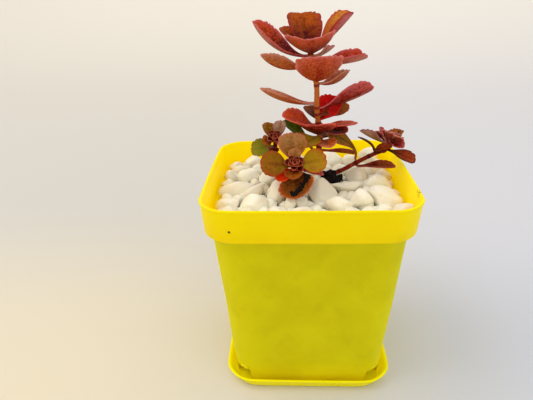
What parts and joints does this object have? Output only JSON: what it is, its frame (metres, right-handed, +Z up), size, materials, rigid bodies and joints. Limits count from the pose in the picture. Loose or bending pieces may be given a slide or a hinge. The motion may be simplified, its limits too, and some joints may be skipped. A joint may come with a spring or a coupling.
{
  "type": "potted sedum",
  "caption": "Bronze-red sedum with toothed fleshy leaves on leafy stems, in a square yellow plastic pot with a saucer, white pebbles on dark soil.",
  "frame": {"origin": "centre of the saucer's underside, on the ground", "axes": "+Z up; -Y is the front, which the plant's front shoot leans to; +X is the side of the long side branch"},
  "size_m": [0.1055, 0.1012, 0.1834],
  "materials": {
    "yellow_saucer": "smooth moulded plastic",
    "yellow_pot": "matt moulded plastic, smooth at the collar",
    "soil": "dark peaty potting soil",
    "pebbles": "tumbled white stone, slightly waxy",
    "stem": "fleshy red-brown stem",
    "bronze_leaf": "fleshy leaf, satin",
    "coral_leaf": "fleshy leaf, satin",
    "wine_leaf": "fleshy leaf, satin",
    "red_leaf": "fleshy leaf, satin",
    "olive_leaf": "fleshy leaf, satin",
    "green_leaf": "fleshy leaf, satin"
  },
  "bodies": {
    "root": {"saucer": "yellow_saucer", "pot": "yellow_pot", "soil": "soil", "pebble_bed": "pebbles", "main_stem": "stem", "front_stem": "stem", "left_stem": "stem", "right_stem": "stem", "crown_leaf_back": "bronze_leaf", "crown_leaf_front": "coral_leaf", "crown_leaf_left": "wine_leaf", "crown_leaf_small": "bronze_leaf", "crown_leaf_right": "coral_leaf", "upper_leaf_left": "bronze_leaf", "upper_leaf_front": "coral_leaf", "upper_leaf_right": "red_leaf", "upper_leaf_behind": "olive_leaf", "upper_leaf_low": "bronze_leaf", "middle_leaf_left": "bronze_leaf", "middle_leaf_right": "wine_leaf", "middle_leaf_back": "red_leaf", "middle_leaf_side": "olive_leaf", "middle_leaf_dark": "olive_leaf", "lower_leaf_left": "red_leaf", "lower_leaf_right": "coral_leaf", "lower_leaf_dark": "wine_leaf", "lower_leaf_small": "wine_leaf", "lower_leaf_back": "olive_leaf", "base_leaf_left": "olive_leaf", "base_leaf_front": "bronze_leaf", "base_leaf_right": "olive_leaf", "base_leaf_thin": "wine_leaf", "base_leaf_green": "green_leaf", "front_leaf_left": "olive_leaf", "front_leaf_top": "olive_leaf", "front_leaf_inner": "olive_leaf", "front_leaf_right": "olive_leaf", "front_leaf_bottom": "olive_leaf", "front_leaf_small": "bronze_leaf", "front_leaf_red": "red_leaf", "front_leaf_thin": "wine_leaf", "left_leaf_up": "olive_leaf", "left_leaf_pale": "olive_leaf", "left_leaf_front": "wine_leaf", "left_leaf_side": "wine_leaf", "left_leaf_green": "green_leaf", "left_leaf_small": "wine_leaf", "right_leaf_thin": "wine_leaf", "right_leaf_hooked": "olive_leaf", "right_leaf_narrow": "bronze_leaf", "right_leaf_red": "coral_leaf", "right_leaf_tip": "bronze_leaf", "right_leaf_pale": "olive_leaf", "right_leaf_front": "wine_leaf", "right_leaf_upright": "wine_leaf", "right_leaf_back": "bronze_leaf", "right_leaf_inner": "wine_leaf", "front_bud": "wine_leaf"}
  },
  "joints": []
}
